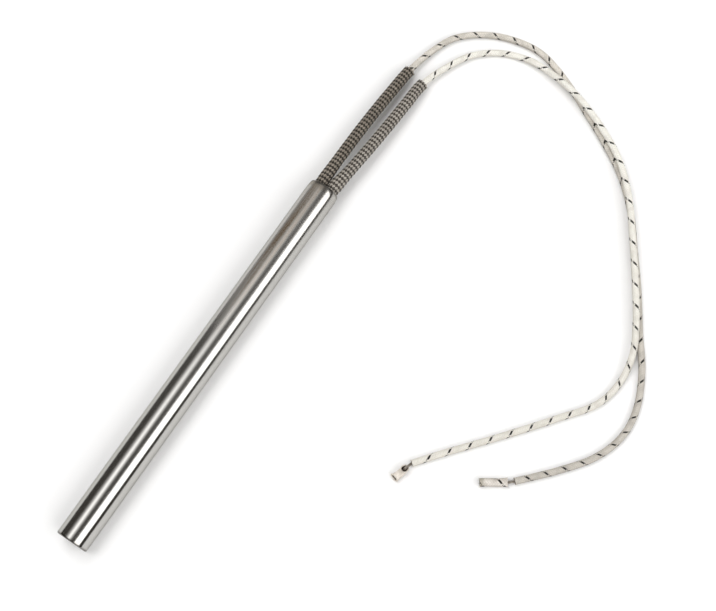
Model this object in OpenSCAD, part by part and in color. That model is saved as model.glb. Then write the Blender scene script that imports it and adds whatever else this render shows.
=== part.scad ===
/* [Sheath] */
// Outside diameter of the sheath
sheath_od = 12.5; // [12:0.1:20]
// Length of the sheath from the open end to the tip
sheath_len = 160; // [80:1:300]
// Wall of the sheath tube
sheath_wall = 0.9; // [0.6:0.05:1]
// Radius of the outer edge at the closed tip
tip_edge_r = 0.6; // [0.2:0.05:0.8]
// Chamfer of the outer edge at the open end
mouth_edge = 0.2; // [0.1:0.05:0.5]

/* [Tip closure] */
// Length of the welded end plug
plug_len = 4; // [2:0.5:8]
// Depth of the plug's face below the sheath's end
plug_recess = 0.5; // [0.2:0.1:1]
// Flat rim left around the plug's sunk face
plug_rim = 0.4; // [0.2:0.1:1]
// Thickness of the insulating disc behind the plug
spacer_thick = 1.5; // [1:0.25:4]

/* [Heating core] */
// Wall of the compacted powder between the coil and the sheath
fill_wall = 0.7; // [0.4:0.05:1]
// Length of free space at each end of the core, where the coil reaches its pin
end_room = 2; // [1.5:0.25:4]
// Diameter of the resistance wire
coil_wire_d = 0.5; // [0.3:0.05:0.6]
// Number of turns of the resistance wire
coil_turns = 40; // [20:1:60]
// Diameter of the terminal pins
pin_d = 1.5; // [1:0.1:1.8]
// Depth that the short pin reaches into the core
short_pin_depth = 30; // [10:1:50]

/* [Lead end] */
// Thickness of the ceramic disc that holds the pins
head_thick = 5; // [3:0.5:10]
// Length of the cement seal
seal_len = 7; // [6:0.5:12]
// Depth of the seal's face below the sheath's open end
seal_recess = 3; // [2:0.5:6]
// Cement left between the two sleeves in the seal
seal_web = 0.2; // [0.1:0.05:0.4]
// Length of each crimp barrel
splice_len = 8; // [6:0.5:9]
// Wall of each crimp barrel
splice_wall = 0.6; // [0.4:0.05:0.7]

/* [Sleeves] */
// Room between a sleeve and the widest piece that it covers
sleeve_slack = 0.25; // [0.1:0.05:0.3]
// Wall of the sleeves under the ridges
sleeve_wall = 0.4; // [0.3:0.05:0.5]
// Height of the braid's ridges
ridge_h = 0.25; // [0.1:0.05:0.3]
// Distance from one ridge to the next
ridge_pitch = 1.8; // [1.5:0.1:3]

/* [Leads] */
// Outside diameter of the lead insulation
lead_od = 2.6; // [2:0.1:2.7]
// Diameter of the stranded conductor
conductor_d = 1.1; // [0.8:0.05:1.3]
// Room between a conductor and the cut insulation slug on its end
slug_slack = 0.45; // [0.3:0.05:0.6]
// Wall of the cut insulation slugs
slug_wall = 0.5; // [0.3:0.05:0.7]
// Length of the straight slug on the first lead
slug_1_len = 10; // [5:0.5:15]
// Length of the kinked slug on the second lead
slug_2_len = 7; // [4:0.5:10]

/* [Fits] */
// Radial clearance of discs and fill in the sheath
bore_gap = 0.03; // [0.01:0.01:0.1]
// Radial clearance of pins, wires and sleeves in their holes
hole_gap = 0.05; // [0.02:0.01:0.08]
// Gap between faces that seat on each other
seat_gap = 0.02; // [0.01:0.01:0.1]

/* [Hidden] */
$fn = 64;

// The heater lies on the surface z = 0, along X, with its closed tip towards +X
sheath_r = sheath_od / 2;
bore_r = sheath_r - sheath_wall;
axis_z = sheath_r;
tip_x = sheath_len / 2;
mouth_x = -sheath_len / 2;
disc_r = bore_r - bore_gap;
edge_land = 0.05;
// Cutters run past what they cut by this much
over = 1;

// Stack of pieces from the tip inwards
plug_in = tip_x - plug_len;
spacer_out = plug_in - seat_gap;
spacer_in = spacer_out - spacer_thick;
core_tip = spacer_in - end_room;

// Stack of pieces from the open end inwards
seal_out = mouth_x + seal_recess;
seal_in = seal_out + seal_len;
head_out = seal_in + seat_gap;
head_in = head_out + head_thick;
core_lead = head_in + end_room;

// Core segments share the length between the two stacks
core_count = 5;
core_pitch = (core_tip - core_lead) / core_count;
pin_r = pin_d / 2;
pin_hole_r = pin_r + hole_gap;

// Splices, in line with the pins and inside the sleeves
conductor_r = conductor_d / 2;
splice_room = 0.5;
splice_in = seal_in - splice_room;
splice_out = splice_in - splice_len;
splice_mid = (splice_in + splice_out) / 2;
splice_r = max(pin_r, conductor_r) + hole_gap + splice_wall;
crimp_depth = 0.15;
crimp_len = 1.6;
wire_stop = 0.2;
strip_room = 0.3;
pin_out = splice_mid + wire_stop;

// Sleeves and leads: each sleeve covers its splice and its lead, and the two lie side by side
lead_r = lead_od / 2;
sleeve_ir = max(splice_r, lead_r) + sleeve_slack;
sleeve_r = sleeve_ir + sleeve_wall + ridge_h;
lead_y = sleeve_r + hole_gap + seal_web / 2;
lead_sides = 8;
sleeve_sides = 12;
lead_ir = (conductor_r + hole_gap) / cos(180 / lead_sides);
slug_bore_r = conductor_r + slug_slack;
slug_r = slug_bore_r + slug_wall;

// The coil lies inside the fill, its straight chords clear the core, and its ends come in to the pins
coil_steps = 12;
coil_sides = 5;
wire_r = coil_wire_d / 2;
fill_ir = disc_r - fill_wall;
coil_r = fill_ir - hole_gap - wire_r;
core_r = coil_r * cos(180 / coil_steps) - wire_r - hole_gap;
coil_end_r = lead_y + pin_r + wire_r + seat_gap;
coil_lead_x = core_lead - end_room / 2;
coil_tip_x = core_tip + end_room / 2;
coil_tail = 90;

// Free route of each lead, measured from the middle of the open end on the surface:
// the first six points are inside the sleeve, the last is the cut end of the insulation
sleeve_points = 6;
free_1 = [
    [-5, -2.5, 6.2], [-14, -2.5, 6], [-26, -2.4, 5.6], [-38, -2.1, 4.9], [-49, -1.6, 4.1], [-61, -0.9, 2.9],
    [-73, 1.5, 1.9], [-83.5, 6, 1.4], [-91, 14.5, 1.3], [-95.5, 25, 1.3], [-97, 36.5, 1.3], [-94.5, 46.5, 1.3],
    [-90, 56.5, 1.3], [-84.5, 66.5, 1.3], [-78, 78, 1.3], [-69.5, 90.5, 1.3], [-58.5, 101.5, 1.3],
    [-46, 110.5, 1.3], [-32.5, 120, 1.3], [-19, 128.5, 1.3], [-7, 136.5, 1.3], [6, 142, 1.3],
    [18, 143, 1.3], [30, 139, 1.3], [41.5, 130.5, 1.3], [54, 119, 1.3]
];
free_2 = [
    [-5, 2.9, 6.2], [-14, 3.9, 6], [-26, 4.9, 5.6], [-38, 5.6, 4.9], [-48, 6, 4.1], [-59, 6.5, 2.9],
    [-70, 10, 2.1], [-80.5, 15.5, 1.5], [-88, 24.5, 1.3], [-91.5, 36, 1.8], [-90.5, 48, 3.2], [-87.5, 60, 4.1],
    [-81.5, 74, 4.2], [-73, 87.5, 4.2], [-61.5, 98.5, 4.2], [-48, 108, 4.2], [-34.5, 117, 4.2],
    [-21.5, 125, 3.9], [-10, 130.5, 2.8], [2, 132, 1.7], [13.5, 129, 1.3], [25.5, 120, 1.3],
    [37.5, 110.5, 1.3], [49, 101, 1.3], [59, 92.5, 1.3], [69, 84.5, 1.3]
];
// Each slug: the middle of its near face, from the same middle, and its turn about Z
slug_1_at = [55.8, 117];
slug_1_turn = -56;
slug_2_at = [70.4, 83.4];
slug_2_turn = -16;
// Share of each slug's length that its conductor fills
slug_fill = 0.6;

// A lead's whole route runs straight from the seal's inner face past its splice, then along its free points,
// and nowhere lower than its own radius
function route(side, free) = concat(
    [for (x = [seal_in, splice_mid - wire_stop, splice_out - strip_room]) [x, side * lead_y, axis_z]],
    [for (p = free) [mouth_x + p.x, p.y, max(p.z, lead_r)]]
);
route_1 = route(-1, free_1);
route_2 = route(1, free_2);
sleeve_start = 0;
insulation_start = 2;
sleeve_end = insulation_start + sleeve_points;

// Points that carry a conductor on from its cut insulation into its slug
function slug_line(at, turn, reach) = [
    for (k = [0, 0.5, 1]) [mouth_x + at.x + reach * k * cos(turn), at.y + reach * k * sin(turn), slug_r]
];

// A smooth curve through the points from first to last, with eight steps to each span
curve_steps = 8;
function curve_at(a, b, c, d, t) =
    0.5 * (2 * b + (c - a) * t + (2 * a - 5 * b + 4 * c - d) * t * t + (3 * b - a - 3 * c + d) * t * t * t);
function settled(p) = [p.x, p.y, max(p.z, lead_r)];
function curve(points, first, last) = concat(
    [for (i = [first:last - 1], k = [0:curve_steps - 1])
        settled(curve_at(points[max(i - 1, 0)], points[i], points[i + 1], points[min(i + 2, len(points) - 1)],
            k / curve_steps))],
    [points[last]]
);

// The same curve again, in a number of even steps along its length
function lengths(line) = [
    for (i = 0, s = 0; i < len(line); i = i + 1, s = s + (i < len(line) ? norm(line[i] - line[i - 1]) : 0)) s
];
function even(line, count) =
    let (s = lengths(line), total = s[len(s) - 1])
    [for (i = [0:count])
        [for (axis = [0:2]) lookup(total * i / count, [for (j = [0:len(line) - 1]) [s[j], line[j][axis]]])]];
function length_of(line) = let (s = lengths(line)) s[len(s) - 1];

function unit(v) = v / norm(v);
function along(line, i) = unit(line[min(i + 1, len(line) - 1)] - line[max(i - 1, 0)]);

// A ring of corners around a point of a line, with one corner straight down
function ring(line, i, r, sides) =
    let (t = along(line, i), side = unit(cross([0, 0, 1], t)), up = cross(t, side))
    [for (k = [0:sides - 1]) line[i] + r * (side * cos(360 * k / sides) - up * sin(360 * k / sides))];
function rings(line, radii, sides) = [for (i = [0:len(line) - 1]) each ring(line, i, radii[i], sides)];

// Triangles of a skin from ring to ring, facing out or in, and of a ring-shaped end
function skin(base, count, sides, outward) = [
    for (i = [0:count - 2], k = [0:sides - 1])
        let (a = base + i * sides + k, b = base + i * sides + (k + 1) % sides)
        each outward ? [[a, b, a + sides], [b, b + sides, a + sides]] : [[a, a + sides, b], [b, a + sides, b + sides]]
];
function rim(outer, inner, sides, start) = [
    for (k = [0:sides - 1])
        let (n = (k + 1) % sides, a = outer + k, b = outer + n, c = inner + k, d = inner + n)
        each start ? [[a, c, b], [b, c, d]] : [[a, b, c], [b, d, c]]
];

module rod(line, r, sides) {
    count = len(line);
    start = [for (k = [0:sides - 1]) sides - 1 - k];
    end = [for (k = [0:sides - 1]) (count - 1) * sides + k];
    polyhedron(
        rings(line, [for (p = line) r], sides),
        concat([start], skin(0, count, sides, true), [end])
    );
}

module hose(outer_line, outer_radii, inner_line, inner_r, sides) {
    outer_count = len(outer_line);
    inner_count = len(inner_line);
    inner = outer_count * sides;
    polyhedron(
        concat(rings(outer_line, outer_radii, sides), rings(inner_line, [for (p = inner_line) inner_r], sides)),
        concat(
            skin(0, outer_count, sides, true),
            skin(inner, inner_count, sides, false),
            rim(0, inner, sides, true),
            rim((outer_count - 1) * sides, inner + (inner_count - 1) * sides, sides, false)
        )
    );
}

// Turns a piece built upwards from the origin to lie along X on the heater's axis, from x
module on_axis(x, y = 0) {
    translate([x, y, axis_z])
        rotate([0, 90, 0])
            children();
}

module bored_disc(from, to, r, hole_r) {
    on_axis(from)
        difference() {
            cylinder(h = to - from, r = r);
            for (side = [-1, 1])
                translate([0, side * lead_y, -over])
                    cylinder(h = to - from + 2 * over, r = hole_r);
        }
}

module sheath() {
    edge = min(tip_edge_r, sheath_wall - edge_land);
    color("gainsboro")
        on_axis(mouth_x)
            rotate_extrude()
                difference() {
                    translate([bore_r, 0])
                        square([sheath_wall, sheath_len]);
                    translate([sheath_r, 0])
                        polygon([[-mouth_edge, 0], [over, 0], [over, mouth_edge], [0, mouth_edge]]);
                    translate([sheath_r - edge, sheath_len - edge])
                        difference() {
                            square(edge + over);
                            circle(r = edge);
                        }
                }
}

// The plug's face is sunk, with a sloped weld around it that runs up to a flat rim
module end_plug() {
    rim_r = disc_r - plug_rim;
    face = plug_len - plug_recess;
    color("silver")
        on_axis(plug_in)
            rotate_extrude()
                difference() {
                    square([disc_r, plug_len]);
                    polygon([[0, face], [rim_r - plug_recess, face], [rim_r, plug_len], [rim_r, plug_len + over],
                        [0, plug_len + over]]);
                }
}

module tip_spacer() {
    color("tan")
        on_axis(spacer_in)
            cylinder(h = spacer_thick, r = disc_r);
}

module core_segment(index) {
    from = core_lead + (index - 1) * core_pitch;
    color("ivory")
        bored_disc(from, from + core_pitch - seat_gap, core_r, pin_hole_r);
}

module heating_coil() {
    turn = 360 * coil_turns;
    step = 360 / coil_steps;
    line = [
        for (a = [-coil_tail:step:turn + coil_tail])
            let (
                k = max(0, min(1, a / turn)),
                tail = max(0, -a, a - turn) / coil_tail,
                r = coil_r + (coil_end_r - coil_r) * tail,
                x = coil_lead_x + (coil_tip_x - coil_lead_x) * k
            )
            [x, r * cos(a + coil_tail), axis_z + r * sin(a + coil_tail)]
    ];
    color("dimgray")
        winding(line, wire_r, coil_sides);
}

// A rod whose rings are set out from the heater's axis, so that they turn evenly along a coil
module winding(line, r, sides) {
    count = len(line);
    points = [
        for (i = [0:count - 1])
            let (
                t = along(line, i),
                out = unit([0, line[i].y, line[i].z - axis_z]),
                side = unit(cross(t, out)),
                up = cross(side, t)
            )
            each [for (k = [0:sides - 1]) line[i] + r * (up * cos(360 * k / sides) - side * sin(360 * k / sides))]
    ];
    start = [for (k = [0:sides - 1]) sides - 1 - k];
    end = [for (k = [0:sides - 1]) (count - 1) * sides + k];
    polyhedron(points, concat([start], skin(0, count, sides, true), [end]));
}

module powder_fill() {
    from = head_in + seat_gap;
    length = spacer_in - seat_gap - from;
    color("whitesmoke")
        on_axis(from)
            difference() {
                cylinder(h = length, r = disc_r);
                translate([0, 0, -over])
                    cylinder(h = length + 2 * over, r = fill_ir);
            }
}

module long_pin() {
    color("darkgray")
        on_axis(pin_out, -lead_y)
            cylinder(h = spacer_in - seat_gap - pin_out, r = pin_r);
}

module short_pin() {
    color("darkgray")
        on_axis(pin_out, lead_y)
            cylinder(h = core_lead + short_pin_depth - pin_out, r = pin_r);
}

module head_insulator() {
    color("ivory")
        bored_disc(head_out, head_in, disc_r, pin_hole_r);
}

module end_seal() {
    color("lightgray")
        bored_disc(seal_out, seal_in, disc_r, sleeve_r + hole_gap);
}

// A crimp barrel with two crimped waists: the pin enters one end, the conductor the other
module splice(side) {
    half = splice_len / 2;
    color("silver")
        on_axis(splice_out, side * lead_y)
            rotate_extrude()
                difference() {
                    square([splice_r, splice_len]);
                    translate([-over, -over])
                        square([conductor_r + hole_gap + over, splice_len + 2 * over]);
                    translate([-over, half])
                        square([pin_hole_r + over, half + over]);
                    for (place = [half / 2, half * 3 / 2])
                        translate([splice_r - crimp_depth, place - crimp_len / 2])
                            square([over, crimp_len]);
                }
}

// A braided sleeve, ridged outside: each ridge is a crest between two valleys
module sleeve(points) {
    line = curve(points, sleeve_start, sleeve_end);
    ridges = round(length_of(line) / ridge_pitch);
    outside = even(line, 3 * ridges);
    inside = even(line, ceil(ridges / 2));
    radii = [for (i = [0:3 * ridges]) i % 3 == 1 ? sleeve_r : sleeve_r - ridge_h];
    color("gray")
        hose(outside, radii, inside, sleeve_ir, sleeve_sides);
}

// The insulation and the conductor in it share their rings, one to every three diameters
function lead_line(points) =
    let (line = curve(points, insulation_start, len(points) - 1))
    even(line, ceil(length_of(line) / (3 * lead_od)));

module lead_insulation(points) {
    line = lead_line(points);
    color("oldlace")
        hose(line, [for (p = line) lead_r], line, lead_ir, lead_sides);
}

module lead_conductor(points, at, turn, slug_len) {
    line = concat([points[insulation_start - 1]], lead_line(points), slug_line(at, turn, slug_len * slug_fill));
    color("rosybrown")
        rod(line, conductor_r, lead_sides);
}

module end_slug(at, turn, length) {
    color("linen")
        translate([mouth_x + at.x, at.y, slug_r])
            rotate([0, 90, turn])
                difference() {
                    cylinder(h = length, r = slug_r);
                    translate([0, 0, -over])
                        cylinder(h = length + 2 * over, r = slug_bore_r);
                }
}

sheath();
end_plug();
tip_spacer();
core_segment(1);  // core_segment_1
core_segment(2);  // core_segment_2
core_segment(3);  // core_segment_3
core_segment(4);  // core_segment_4
core_segment(5);  // core_segment_5
heating_coil();
powder_fill();
long_pin();
short_pin();
head_insulator();
end_seal();
splice(-1);  // splice_1
splice(1);  // splice_2
sleeve(route_1);  // sleeve_1
sleeve(route_2);  // sleeve_2
lead_insulation(route_1);  // lead_1_insulation
lead_conductor(route_1, slug_1_at, slug_1_turn, slug_1_len);  // lead_1_conductor
end_slug(slug_1_at, slug_1_turn, slug_1_len);  // lead_1_end_slug
lead_insulation(route_2);  // lead_2_insulation
lead_conductor(route_2, slug_2_at, slug_2_turn, slug_2_len);  // lead_2_conductor
end_slug(slug_2_at, slug_2_turn, slug_2_len);  // lead_2_end_slug
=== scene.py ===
import math
import bmesh
import bpy
import numpy as np
from mathutils import Matrix, Vector


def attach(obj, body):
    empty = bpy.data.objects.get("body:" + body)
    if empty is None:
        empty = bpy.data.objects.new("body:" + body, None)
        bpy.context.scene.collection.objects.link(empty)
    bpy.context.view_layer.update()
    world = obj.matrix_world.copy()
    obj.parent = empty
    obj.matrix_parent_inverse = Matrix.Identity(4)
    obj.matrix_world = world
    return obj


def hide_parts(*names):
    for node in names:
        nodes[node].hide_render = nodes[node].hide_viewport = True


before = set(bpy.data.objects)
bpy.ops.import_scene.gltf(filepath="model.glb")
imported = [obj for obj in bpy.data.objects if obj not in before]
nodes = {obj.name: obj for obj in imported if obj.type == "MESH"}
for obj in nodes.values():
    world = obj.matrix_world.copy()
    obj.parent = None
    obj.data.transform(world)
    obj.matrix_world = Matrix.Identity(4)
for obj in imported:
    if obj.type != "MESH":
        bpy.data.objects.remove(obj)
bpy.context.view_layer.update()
mm = 0.001
chance = np.random.default_rng(11)
print("frame loaded:", len(nodes), "nodes")


# Shader sums: a wire is one socket, and Python's operators add Math nodes to its finish
class Wire:
    def __init__(self, finish, socket):
        self.finish = finish
        self.socket = socket

    def calc(self, operation, *others):
        return self.finish.node("ShaderNodeMath", {"operation": operation}, [self, *others])

    def __add__(self, other):
        return self.calc("ADD", other)

    def __sub__(self, other):
        return self.calc("SUBTRACT", other)

    def __mul__(self, other):
        return self.calc("MULTIPLY", other)

    def __rsub__(self, other):
        return self.finish.node("ShaderNodeMath", {"operation": "SUBTRACT"}, [other, self])

    __radd__ = __add__
    __rmul__ = __mul__

    def between(self, low, high):  # 0 at low, 1 at high
        settings = {"interpolation_type": "SMOOTHSTEP"}
        sockets = {"Value": self, "From Min": low, "From Max": high}
        return self.finish.node("ShaderNodeMapRange", settings, sockets)

    def band(self, rise, full, fall, end):  # 1 from full to fall, 0 outside
        return self.between(rise, full) * (1.0 - self.between(fall, end))


# A finish is one material; node() adds any node from its type, its settings and its sockets
class Finish:
    def __init__(self, name, owner=None):
        self.material = owner or bpy.data.materials.new(name)
        self.material.use_nodes = True
        self.tree = self.material.node_tree
        self.tree.nodes.clear()

    def node(self, kind, settings=None, sockets=None, out=0):
        made = self.tree.nodes.new(kind)
        for key, value in (settings or {}).items():
            setattr(made, key, value)
        pairs = enumerate(sockets) if isinstance(sockets, list) else (sockets or {}).items()
        for key, value in pairs:
            if isinstance(value, Wire):
                self.tree.links.new(value.socket, made.inputs[key])
            else:
                made.inputs[key].default_value = value
        return Wire(self, made.outputs[out]) if made.outputs else None

    def place(self):
        spot = self.node("ShaderNodeTexCoord", out="Object")
        return [self.node("ShaderNodeSeparateXYZ", None, [spot], axis) for axis in range(3)]

    def surfacePlace(self):
        spot = self.node("ShaderNodeTexCoord", out="UV")
        return [self.node("ShaderNodeSeparateXYZ", None, [spot], axis) for axis in range(2)]

    def noise(self, x, y, z=0.0, scale=1.0, detail=3.0):
        spot = self.node("ShaderNodeCombineXYZ", None, [x, y, z])
        return self.node("ShaderNodeTexNoise", None, {"Vector": spot, "Scale": scale, "Detail": detail})

    def blend(self, amount, first, second):
        return self.node("ShaderNodeMix", {"data_type": "RGBA"}, {0: amount, 6: first, 7: second}, 2)

    def bump(self, height, distance, strength):
        sockets = {"Height": height, "Distance": distance, "Strength": strength}
        return self.node("ShaderNodeBump", None, sockets)

    def seen(self):
        camera = self.node("ShaderNodeLightPath", out="Is Camera Ray")
        glossy = self.node("ShaderNodeLightPath", out="Is Glossy Ray")
        through = self.node("ShaderNodeLightPath", out="Is Transmission Ray")
        return camera.calc("MAXIMUM", glossy).calc("MAXIMUM", through)

    def surface(self, sockets):
        shader = self.node("ShaderNodeBsdfPrincipled", None, sockets)
        self.node("ShaderNodeOutputMaterial", None, {"Surface": shader})
        return self.material


def rgb(red, green, blue):
    return (red, green, blue, 1.0)


cameraSetup = {
    "azimuth": 123.541,
    "elevation": 73.115,
    "distance": 0.537401,
    "target": (-0.050362, 0.035003, 0.0),
    "lens": 72.0,
    "sensor": 36.0,
    "clipStart": 0.01,
}


def makeCamera():
    turn = math.radians(cameraSetup["azimuth"])
    lift = math.radians(cameraSetup["elevation"])
    level = math.cos(lift)
    back = Vector((math.sin(turn) * level, -math.cos(turn) * level, math.sin(lift)))
    data = bpy.data.cameras.new("camera")
    data.lens = cameraSetup["lens"]
    data.sensor_width = cameraSetup["sensor"]
    data.clip_start = cameraSetup["clipStart"]
    camera = bpy.data.objects.new("camera", data)
    bpy.context.scene.collection.objects.link(camera)
    camera.location = Vector(cameraSetup["target"]) + back * cameraSetup["distance"]
    camera.rotation_euler = (-back).to_track_quat("-Z", "Y").to_euler()
    bpy.context.scene.camera = camera


# Each softbox hangs at an angle from straight up, towards +Y, or turned around Z;
# radiance 1 lights like a white wall, and a hidden one lights without showing in the steel
softboxes = [
    {"name": "keyBox", "angle": 48.8, "far": 1.3, "wide": 0.85, "from": -0.75, "to": 0.9,
     "yaw": -12.0, "radiance": 2.6},
    {"name": "fillSkirt", "angle": -20.0, "far": 1.32, "wide": 1.2, "from": -1.0, "to": 0.8,
     "radiance": 0.16},
    {"name": "fillBox", "angle": -18.0, "far": 1.3, "wide": 0.86, "from": -0.9, "to": 0.7,
     "radiance": 0.45},
    {"name": "fillMiddle", "angle": -17.0, "far": 1.28, "wide": 0.54, "from": -0.4, "to": 0.6,
     "radiance": 0.56},
    {"name": "fillHeart", "angle": -17.0, "far": 1.26, "wide": 0.3, "from": -0.1, "to": 0.5,
     "radiance": 0.85},
    {"name": "bounce", "angle": -33.0, "far": 2.0, "wide": 1.7, "from": -1.6, "to": 1.4,
     "radiance": 1.32, "hidden": True},
    {"name": "ceiling", "angle": 0.0, "far": 1.6, "wide": 2.4, "from": -1.3, "to": 1.1,
     "radiance": 0.5, "hidden": True},
    {"name": "tipCard", "angle": 62.0, "far": 1.6, "wide": 1.1, "from": -0.9, "to": 0.9,
     "around": -90.0, "radiance": 0.22},
    {"name": "leadCard", "angle": 62.0, "far": 1.6, "wide": 1.1, "from": -0.9, "to": 0.9,
     "around": 90.0, "radiance": 0.25},
]
studio = {
    "room": rgb(0.066, 0.06, 0.053),
    "floorColour": rgb(0.96, 0.96, 0.96),
    "floorSize": 30.0,
    "paleFrom": (0.4, 1.2),  # metres out, where the floor stays pale past the reach of the lamps
}


def makeStudio():
    scene = bpy.context.scene
    scene.view_settings.view_transform = "Standard"
    world = bpy.data.worlds.new("studio")
    world.use_nodes = True
    room = Finish("roomLight", world)
    around = room.node("ShaderNodeBackground", None, {"Color": studio["room"]})
    room.node("ShaderNodeOutputWorld", None, {"Surface": around})
    scene.world = world
    for box in softboxes:
        lamp = bpy.data.lights.new(box["name"], "AREA")
        lamp.shape = "RECTANGLE"
        lamp.size = box["to"] - box["from"]
        lamp.size_y = box["wide"]
        lamp.energy = math.pi * box["radiance"] * lamp.size * lamp.size_y
        holder = bpy.data.objects.new(box["name"], lamp)
        scene.collection.objects.link(holder)
        turn = math.radians(box["angle"])
        yaw = math.radians(box.get("yaw", 0.0))
        middle = (box["from"] + box["to"]) / 2
        spin = Matrix.Rotation(math.radians(box.get("around", 0.0)), 3, "Z")
        facing = Matrix.Rotation(-turn, 3, "X") @ Matrix.Rotation(yaw, 3, "Z")
        hung = Vector((middle, box["far"] * math.sin(turn), box["far"] * math.cos(turn)))
        holder.location = spin @ hung
        holder.rotation_euler = (spin @ facing).to_euler()
        holder.visible_camera = False
        holder.visible_glossy = not box.get("hidden", False)
    bpy.ops.object.select_all(action="DESELECT")
    bpy.ops.mesh.primitive_plane_add(size=studio["floorSize"], location=(0, 0, 0))
    floor = bpy.context.object
    floor.name = "floor"
    finish = Finish("paleFloor")
    x, y, z = finish.place()
    far = (x * x + y * y).calc("SQRT").between(*studio["paleFrom"]) * finish.seen()
    matte = finish.node("ShaderNodeBsdfDiffuse", None, {"Color": studio["floorColour"]})
    glow = {"Color": studio["floorColour"], "Strength": 1.0}
    pale = finish.node("ShaderNodeEmission", None, glow)
    mixed = finish.node("ShaderNodeMixShader", None, [far, matte, pale])
    finish.node("ShaderNodeOutputMaterial", None, {"Surface": mixed})
    floor.data.materials.append(finish.material)
    print("studio ready")


makeCamera()
makeStudio()


# The heater lies along X; each lead's free points are the solid's own, in millimetres
# from the middle of the open end, and its turns say where along it the tracer comes round
heater = {
    "mouthX": -80.0,
    "axisZ": 6.25,
    "leadY": 2.45,
    "straightX": (-70.0, -74.7, -78.8),
    "sleevePoints": 6,
}
leadOne = {
    "side": -1,
    "free": [
        (-5, -2.5, 6.2), (-14, -2.5, 6), (-26, -2.4, 5.6), (-38, -2.1, 4.9), (-49, -1.6, 4.1),
        (-61, -0.9, 2.9), (-73, 1.5, 1.9), (-83.5, 6, 1.4), (-91, 14.5, 1.3), (-95.5, 25, 1.3),
        (-97, 36.5, 1.3), (-94.5, 46.5, 1.3), (-90, 56.5, 1.3), (-84.5, 66.5, 1.3), (-78, 78, 1.3),
        (-69.5, 90.5, 1.3), (-58.5, 101.5, 1.3), (-46, 110.5, 1.3), (-32.5, 120, 1.3),
        (-19, 128.5, 1.3), (-7, 136.5, 1.3), (6, 142, 1.3), (18, 143, 1.3), (30, 139, 1.3),
        (41.5, 130.5, 1.3), (54, 119, 1.3),
    ],
    "slugAt": (55.8, 117.0),
    "slugTurn": -56.0,
    "length": 0.332,
    "hand": -1,
    "turns": [(0, -10), (78.9, 0), (110.2, 4), (256.4, 22), (271.6, 24), (297.5, 28),
              (325.2, 32), (340.7, 34)],
    "braid": (rgb(0.78, 0.735, 0.66), rgb(0.37, 0.345, 0.308)),
    "yarn": (rgb(0.62, 0.59, 0.53), rgb(0.4, 0.37, 0.32)),
}
leadTwo = {
    "side": 1,
    "free": [
        (-5, 2.9, 6.2), (-14, 3.9, 6), (-26, 4.9, 5.6), (-38, 5.6, 4.9), (-48, 6, 4.1),
        (-59, 6.5, 2.9), (-70, 10, 2.1), (-80.5, 15.5, 1.5), (-88, 24.5, 1.3), (-91.5, 36, 1.8),
        (-90.5, 48, 3.2), (-87.5, 60, 4.1), (-81.5, 74, 4.2), (-73, 87.5, 4.2), (-61.5, 98.5, 4.2),
        (-48, 108, 4.2), (-34.5, 117, 4.2), (-21.5, 125, 3.9), (-10, 130.5, 2.8), (2, 132, 1.7),
        (13.5, 129, 1.3), (25.5, 120, 1.3), (37.5, 110.5, 1.3), (49, 101, 1.3), (59, 92.5, 1.3),
        (69, 84.5, 1.3),
    ],
    "slugAt": (70.4, 83.4),
    "slugTurn": -16.0,
    "length": 0.338,
    "hand": 1,
    "turns": [(0, -10.4), (83.1, 0), (106.7, 3), (172.5, 11), (230.7, 18), (260.3, 22),
              (290.2, 26), (329.3, 31), (337.2, 31.8)],
    "braid": (rgb(0.935, 0.915, 0.845), rgb(0.62, 0.585, 0.52)),
    "yarn": (rgb(0.86, 0.84, 0.76), rgb(0.6, 0.57, 0.5)),
}
leadShape = {
    "radius": 1.3,
    "bore": 0.62,
    "ring": 0.26,
    "sides": 48,
    "relief": 0.11,
    "endFlare": 0.12,
    "flareLength": 0.5,
    "dirt": 0.4,
    # the bore and the cut ends are painted dark: painted shade for the inside of the hollow lead
    "cut": (rgb(0.3, 0.265, 0.225), rgb(0.15, 0.125, 0.1)),
    "hair": {"count": 36, "back": 0.15, "along": 0.9, "out": 0.5, "length": (0.3, 0.9), "thick": 0.03},
    "hairRoots": (0.75, 1.3),  # between these radii
}


def routeOf(lead):
    straight = [(x, lead["side"] * heater["leadY"], heater["axisZ"]) for x in heater["straightX"]]
    return np.array(straight + [(heater["mouthX"] + x, y, z) for x, y, z in lead["free"]])


def smoothLine(points, first, last, steps=16):
    line = []
    for i in range(first, last):
        a, b, c = points[max(i - 1, 0)], points[i], points[i + 1]
        d = points[min(i + 2, len(points) - 1)]
        square, cube = 2 * a - 5 * b + 4 * c - d, 3 * b - a - 3 * c + d
        for t in np.arange(steps) / steps:
            line.append(0.5 * (2 * b + (c - a) * t + square * t**2 + cube * t**3))
    line = np.array(line + [points[last]])
    line[:, 2] = np.maximum(line[:, 2], leadShape["radius"])
    return line


def runOf(line):
    return np.concatenate([[0.0], np.cumsum(np.linalg.norm(np.diff(line, axis=0), axis=1))])


def evenLine(line, step):
    run = runOf(line)
    spots = np.linspace(0, run[-1], int(math.ceil(run[-1] / step)) + 1)
    return np.stack([np.interp(spots, run, line[:, axis]) for axis in range(3)], axis=1)


def axesOf(line):
    along = np.gradient(line, axis=0)
    along /= np.linalg.norm(along, axis=1)[:, None]
    side = np.cross((0.0, 0.0, 1.0), along)
    side /= np.linalg.norm(side, axis=1)[:, None]
    return along, side, np.cross(along, side)


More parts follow.
